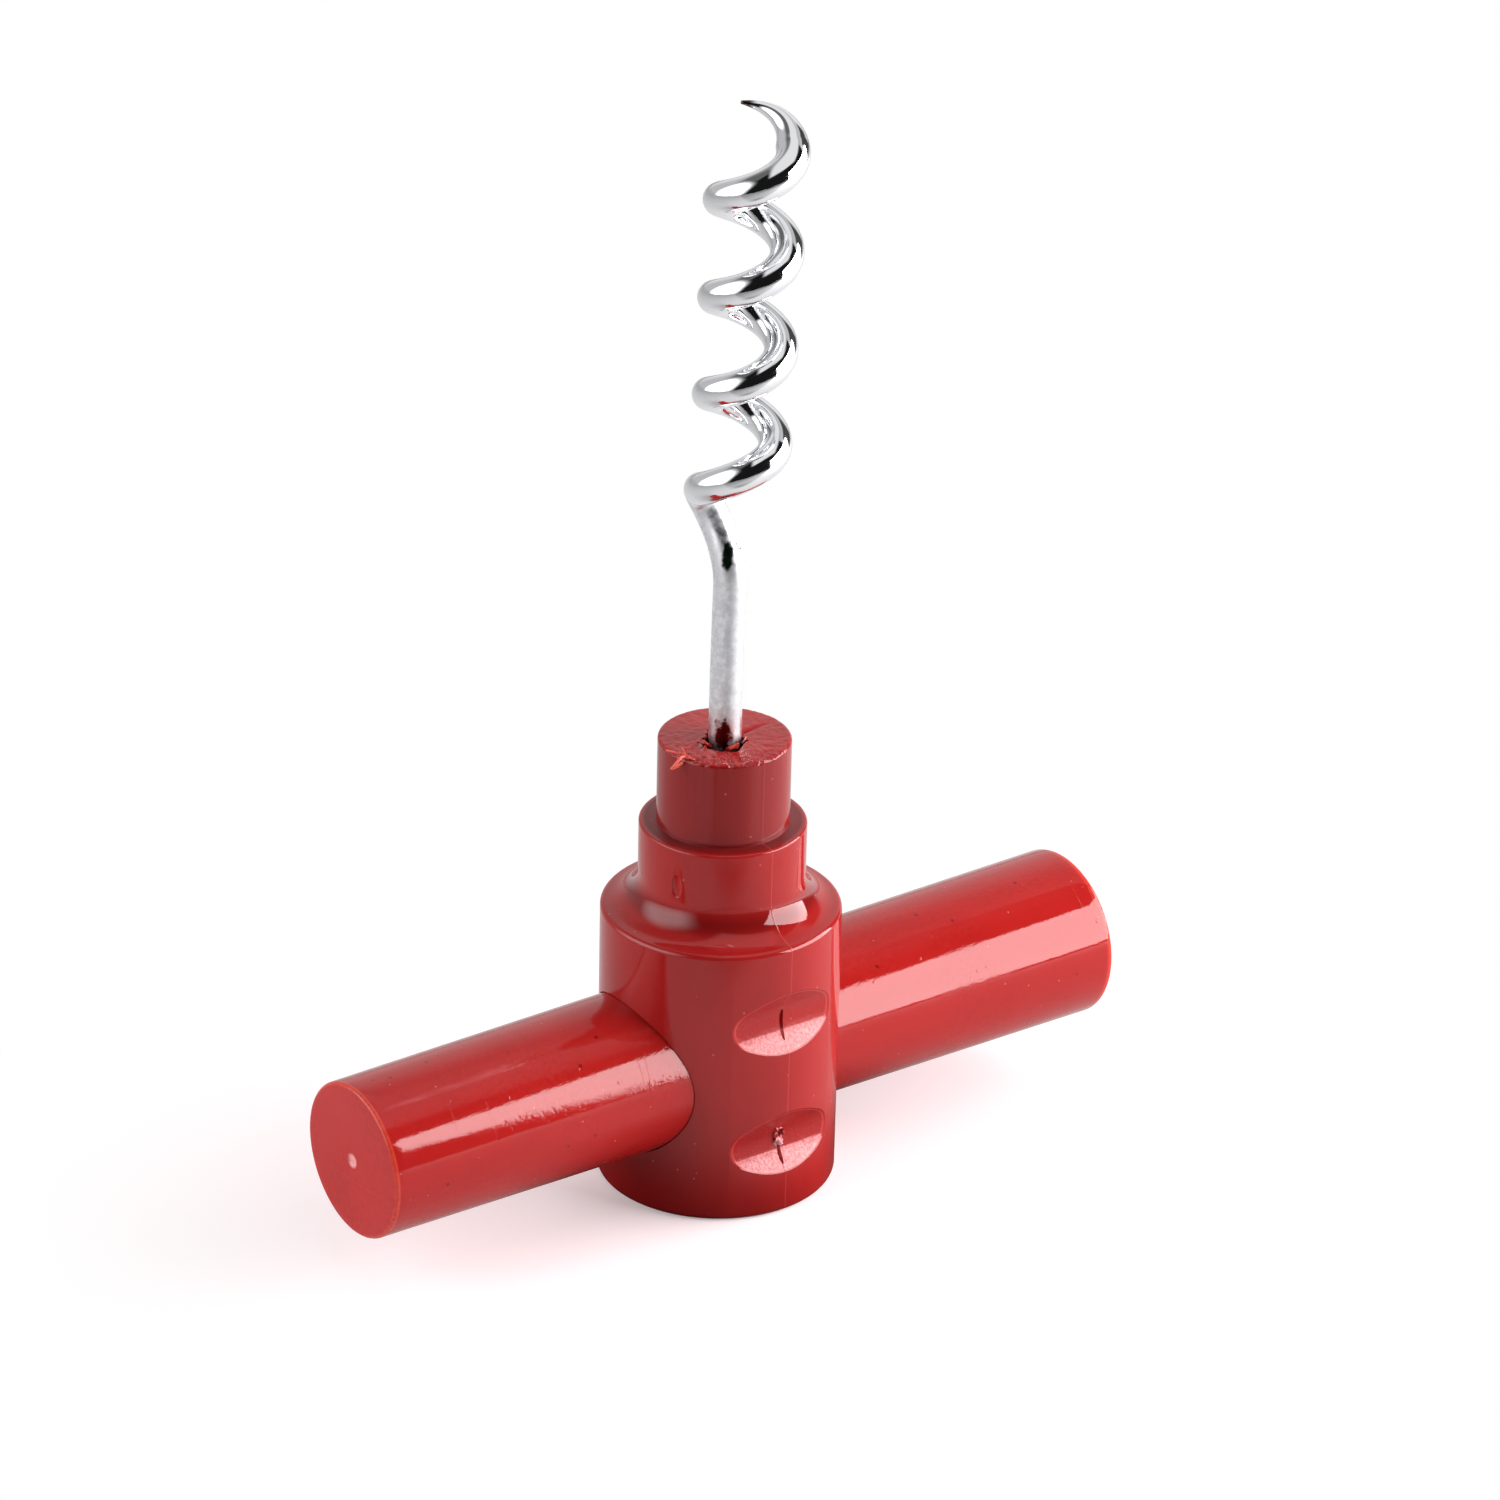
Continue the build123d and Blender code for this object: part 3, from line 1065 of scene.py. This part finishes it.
scallop_top = (rim_height - 1 * mm, rim_height)
scallop_front = (8.7 * mm, 8.9 * mm)
rim_highlight_band = (hub_radius - 0.22 * mm, hub_radius - 0.14 * mm)
above_bore = (sheath_axis, sheath_axis + 0.5 * mm)
frost_edge = (-1.05 * mm, -0.85 * mm)
frost_strength = (0.36, 0.64, 0.30, 0.75)
seam_half_width = (0.03 * mm, 0.10 * mm)
seam_strength = (ring_height, ring_height + 0.1 * mm, 0.20, 0.10)
crumbs_reach = (0.35 * mm, 0.60 * mm)
crumbly_strength = (1.0 * mm, 4.0 * mm, 0.06, 1.0)


def speckled(plastic, scale, size):
    """1 on small round specks in a few cells, of which so many go to the metre."""
    inputs = {"Vector": plastic.place(), "Scale": scale}
    cells = plastic.node("ShaderNodeTexVoronoi", inputs).outputs
    near = plastic.fade(cells["Distance"], size, size * speck_softness)
    luck = plastic.node("ShaderNodeSeparateColor", {"Color": cells["Color"]}).outputs[0]
    return plastic.times(near, plastic.ease(luck, *cells_with_speck))


red_moulding = bpy.data.materials.new("red_moulding")
red = Finish(red_moulding)
spot = red.place()
spot_x, spot_y, spot_z = red.split(spot)
flat = red.node("ShaderNodeCombineXYZ", {"X": spot_x, "Y": spot_y}).outputs["Vector"]
ring = red.vector("LENGTH", flat)["Value"]

marble = red.grain(scale=130, detail=3.0, roughness=0.55, stretch=(1, 1, 0.35))
marble = red.ease(marble, *marbled)
tint = red.tint(*hub_reds, marble)
# The concave shoulder at the foot of the collar is painted darker: painted shade.
in_shaded_hollow = red.times(
    red.ease(spot_z, *hollow_bottom),
    red.fade(ring, *hollow_side),
    red.fade(spot_z, *hollow_top),
)
tint = red.tint(tint, hollow_shade_red, in_shaded_hollow)
# The plug is painted a darker red than the hub: painted shade. Its top is painted a stronger
# red.
on_plug = red.ease(spot_z, *plug_bottom)
tint = red.tint(tint, red.tint(*plug_shade_reds, marble), on_plug)
# The ledge round the plug's foot is painted dark: painted shade in the groove there.
off_ledge = red.reckon("ABSOLUTE", red.reckon("SUBTRACT", spot_z, ring_height))
on_ledge = red.times(red.fade(off_ledge, *ledge_depth), red.fade(ring, *ledge_side))
tint = red.tint(tint, ledge_shade_red, on_ledge)
# Down in the torn opening round the wire the plastic is dark brown.
dark_mark = red.times(red.fade(spot_z, *opening_heights), red.fade(ring, *opening_reach), on_plug)
tint = red.tint(tint, opening_dark_brown, dark_mark)
tint = red.tint(tint, speck_pink, speckled(red, scale=900, size=0.075))
on_top = red.ease(spot_z, *top_heights)
clean_top = red.times(on_top, red.reckon("SUBTRACT", 1.0, dark_mark))
tint = red.tint(tint, top_red, clean_top)
# Thin flash is painted bright orange: partly the paler red of thin plastic, partly painted
# light shining through it.
past_rim = red.times(red.ease(ring, *over_rim), red.ease(spot_z, *over_rim_bottom))
thin_flash = red.reckon("MAXIMUM", past_rim, red.ease(spot_z, *over_top))
tint = red.tint(tint, flash_backlit_red, thin_flash)

in_scallop = red.times(
    red.fade(ring, *scallop_side),
    red.fade(spot_z, *scallop_top),
    red.ease(red.reckon("ABSOLUTE", spot_y), *scallop_front),
)
# A band inside each scallop's rim is painted lighter: a painted highlight line.
on_rim_highlight = red.ease(ring, *rim_highlight_band)
tint = red.tint(tint, rim_highlight_red, on_rim_highlight, in_scallop)
# The lower flanks are frosted, with a real grain and bump; their pale pink is a painted sheen
# of light.
low_flank = red.fade(red.reckon("SUBTRACT", spot_z, low_middle), *frost_edge)
high_flank = red.fade(red.reckon("SUBTRACT", spot_z, high_middle), *frost_edge)
high_flank = red.times(high_flank, red.ease(spot_z, *above_bore))
frosted = red.times(red.reckon("MAXIMUM", low_flank, high_flank), in_scallop)
frost_grain = red.grain(scale=4200, detail=3.0, roughness=0.7, stretch=(1, 1, 0.6))
frost_grain = red.ease(frost_grain, *frost_strength)
tint = red.tint(tint, frost_sheen_pink, frosted, frost_grain)
seam = red.fade(red.reckon("ABSOLUTE", spot_x), *seam_half_width)
tint = red.tint(tint, seam_red, seam, red.ease(spot_z, *seam_strength))
# The gate's crumbs are painted pale pink: a painted highlight on them.
off_crumbs = red.vector("DISTANCE", spot, crumb_middle)["Value"]
on_crumb_highlight = red.fade(off_crumbs, *crumbs_reach)
tint = red.tint(tint, crumb_highlight_pink, on_crumb_highlight)

gloss = red.ease(red.grain(scale=600, detail=3.0), *hub_roughness)
for duller, more in ((on_top, 0.18), (in_scallop, 0.06), (on_ledge, 0.35)):
    gloss = red.reckon("ADD", gloss, red.times(duller, more))
from_front = red.vector("DOT_PRODUCT", spot, front)["Value"]
crumbly = red.times(on_top, red.ease(from_front, *crumbly_strength))
normal = red.bump(red.grain(scale=420), distance=0.02 * mm, strength=0.25)
frost = red.grain(scale=3000, detail=3.0, roughness=0.7)
normal = red.bump(frost, distance=0.05 * mm, strength=in_scallop, under=normal)
crumbs = red.grain(scale=2600, detail=3.0, roughness=0.65)
normal = red.bump(crumbs, distance=0.12 * mm, strength=crumbly, under=normal)
normal = red.bump(seam, distance=0.03 * mm, strength=0.35, under=normal)
red.fill(red.skin, plastic_surface)
red.fill(red.skin, {"Base Color": tint, "Roughness": gloss, "Normal": normal})
hub.data.materials.append(red_moulding)
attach(hub, "hub_body")
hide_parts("hub")


# ---- Sheath --------------------------------------------------------------------------
# One moulding of the same red plastic: a tube with a closed end, a little narrower there.
# It covers the worm in the pocket, and pushed through the hub it is the cross handle.

closed_thickness = 2.0 * mm
closed_round = 0.35 * mm
hollow_radius = 6.055 * mm
hollow_round = 1.2 * mm
hollow_start = 0.4 * mm
seat_radius = 6.14 * mm
seat_length = 8.6 * mm
lip_round = 0.4 * mm
lip_lead_in = 0.3 * mm
dimple_radius = 0.7 * mm
dimple_depth = 0.25 * mm
wall_rings = 80
end_rings = 12
dimple_rings = 8

sheath_rings = [(hollow_start, closed_thickness)]
hollow_edge = hollow_radius - hollow_round
hollow_end = closed_thickness + hollow_round
sheath_rings += arc_rings(hollow_edge, hollow_end, hollow_round, 270, 360, steps=8)
sheath_rings += [
    (seat_radius, sheath_length - seat_length),
    (seat_radius, sheath_length - lip_lead_in),
    (seat_radius + lip_lead_in, sheath_length),
]
lip_start = mouth_radius - lip_round
sheath_rings += arc_rings(lip_start, sheath_length - lip_round, lip_round, 90, 0, steps=6)
for step in range(1, wall_rings):
    share = step / wall_rings
    height = (sheath_length - lip_round) * (1 - share) + closed_round * share
    sheath_rings.append((closed_end_radius + sheath_taper * height, height))
end_radius = closed_end_radius + sheath_taper * closed_round
flat_radius = end_radius - closed_round
sheath_rings += arc_rings(flat_radius, closed_round, closed_round, 0, -90, steps=6)
for step in range(1, end_rings):
    sheath_rings.append((flat_radius - (flat_radius - dimple_radius) * step / end_rings, 0))
ball = (dimple_radius**2 + dimple_depth**2) / (2 * dimple_depth)
for step in range(dimple_rings):
    dimple_ring = dimple_radius * (1 - step / dimple_rings)
    depth = math.sqrt(ball**2 - dimple_ring**2) - (ball - dimple_depth)
    sheath_rings.append((dimple_ring, depth))

sheath_base = Vector((sheath_low.x, 0, sheath_axis))
sheath = turn_solid("handle_sheath", sheath_rings, sheath_base, Vector((1, 0, 0)))
bpy.ops.object.shade_smooth_by_angle(angle=smooth_angle)

# The same glossy red in a lighter batch, worn and specked. The closed end is painted a lighter
# red, as painted light, and its rim a pale orange, a painted glow through the thin wall; the
# lip of the mouth and the broken gate's dimple are painted paler, as painted highlights.

sheath_reds = ((0.38, 0.012, 0.011), (0.44, 0.016, 0.014))
end_light_red = (0.60, 0.022, 0.020, 0.5)
end_edge_glow_red = (0.80, 0.085, 0.045, 0.55)
mouth_highlight_red = (0.80, 0.055, 0.030, 0.5)
dimple_highlight_pink = (0.95, 0.42, 0.42, 0.9)
worn_red = (0.30, 0.009, 0.009)
speck_dark = (0.11, 0.004, 0.004, 0.7)
dust_pink = (0.85, 0.30, 0.28, 0.3)
sheath_roughness = (0.3, 0.7, 0.03, 0.07)
end_duller = 0.12
end_face = (sheath_low.x + 0.3 * mm, sheath_low.x + 0.5 * mm)
end_rim = (closed_end_radius - 0.40 * mm, closed_end_radius - 0.1 * mm)
mouth_rim = (sheath_high.x - 0.75 * mm, sheath_high.x - 0.45 * mm)
dimple_rim = (0.45 * mm, 0.80 * mm)
rubbed_share = (0.40, 0.60, 0.25, 1.0)
worn_strength = (0.42, 0.62, 0.0, 0.35)
scratch_half_width = (0.0015, 0.004)
scratched_patches = (0.52, 0.60)

red_sheath = bpy.data.materials.new("red_sheath")
red = Finish(red_sheath)
spot_x, spot_y, spot_z = red.split(red.place())
marble = red.grain(scale=110, detail=3.0, roughness=0.55, stretch=(0.3, 1, 1))
marble = red.ease(marble, *marbled)
tint = red.tint(*sheath_reds, marble)
across_tube = red.node("ShaderNodeCombineXYZ", {"Y": spot_y, "Z": spot_z}).outputs["Vector"]
from_axis = red.vector("DISTANCE", across_tube, (0, 0, sheath_axis))["Value"]
# The closed end is painted a lighter red: painted light.
at_end = red.fade(spot_x, *end_face)
tint = red.tint(tint, end_light_red, at_end)
# The closed end's rim is painted pale orange: a painted glow of light through the thin wall.
end_edge = red.ease(from_axis, *end_rim)
tint = red.tint(tint, end_edge_glow_red, at_end, end_edge)
# The lip of the mouth is painted paler: a painted highlight.
at_mouth = red.ease(spot_x, *mouth_rim)
tint = red.tint(tint, mouth_highlight_red, at_mouth)
# The gate's dimple is painted pink: a painted highlight.
on_dimple = red.fade(from_axis, *dimple_rim)
tint = red.tint(tint, dimple_highlight_pink, on_dimple, at_end)
rubbed = red.grain(scale=120, roughness=0.6, stretch=(0.6, 1, 1))
rubbed = red.ease(rubbed, *rubbed_share)
worn = red.grain(scale=2300, detail=3.0, roughness=0.7)
worn = red.ease(worn, *worn_strength)
tint = red.tint(tint, worn_red, worn, rubbed)
tint = red.tint(tint, speck_dark, speckled(red, scale=700, size=0.10))
tint = red.tint(tint, dust_pink, speckled(red, scale=1100, size=0.075))
gloss = red.ease(red.grain(scale=500, detail=3.0), *sheath_roughness)
gloss = red.reckon("ADD", gloss, red.times(at_end, end_duller))

# Long waves from the cooling of the tube, a fine peel, a drawn-out raggedness, hair
# scratches from use, a fine rub and pinholes.

normal = red.bump(red.grain(scale=90, detail=1.0), distance=0.25 * mm, strength=0.12)
normal = red.bump(red.grain(scale=500), distance=0.02 * mm, strength=0.3, under=normal)
ragged = red.grain(scale=1000, detail=4.0, roughness=0.7, stretch=(0.35, 1, 1))
ragged_strength = red.times(rubbed, 0.45)
normal = red.bump(ragged, distance=0.035 * mm, strength=ragged_strength, under=normal)
scratches = red.grain(scale=260, detail=1.0, stretch=(1, 0.10, 0.10))
scratches = red.reckon("ABSOLUTE", red.reckon("SUBTRACT", scratches, 0.5))
patchy = red.ease(red.grain(scale=150, detail=1.0), *scratched_patches)
scratches = red.times(red.fade(scratches, *scratch_half_width), patchy)
normal = red.bump(scratches, distance=0.015 * mm, strength=0.5, under=normal)
rub = red.grain(scale=3000, roughness=0.6)
rub_strength = red.times(rubbed, 0.4)
normal = red.bump(rub, distance=0.02 * mm, strength=rub_strength, under=normal)
pinholes = speckled(red, scale=900, size=0.10)
normal = red.bump(pinholes, distance=0.03 * mm, strength=0.5, under=normal)
red.fill(red.skin, plastic_surface)
red.fill(red.skin, {"Base Color": tint, "Roughness": gloss, "Normal": normal})
sheath.data.materials.append(red_sheath)
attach(sheath, "sheath_body")
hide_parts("sheath")
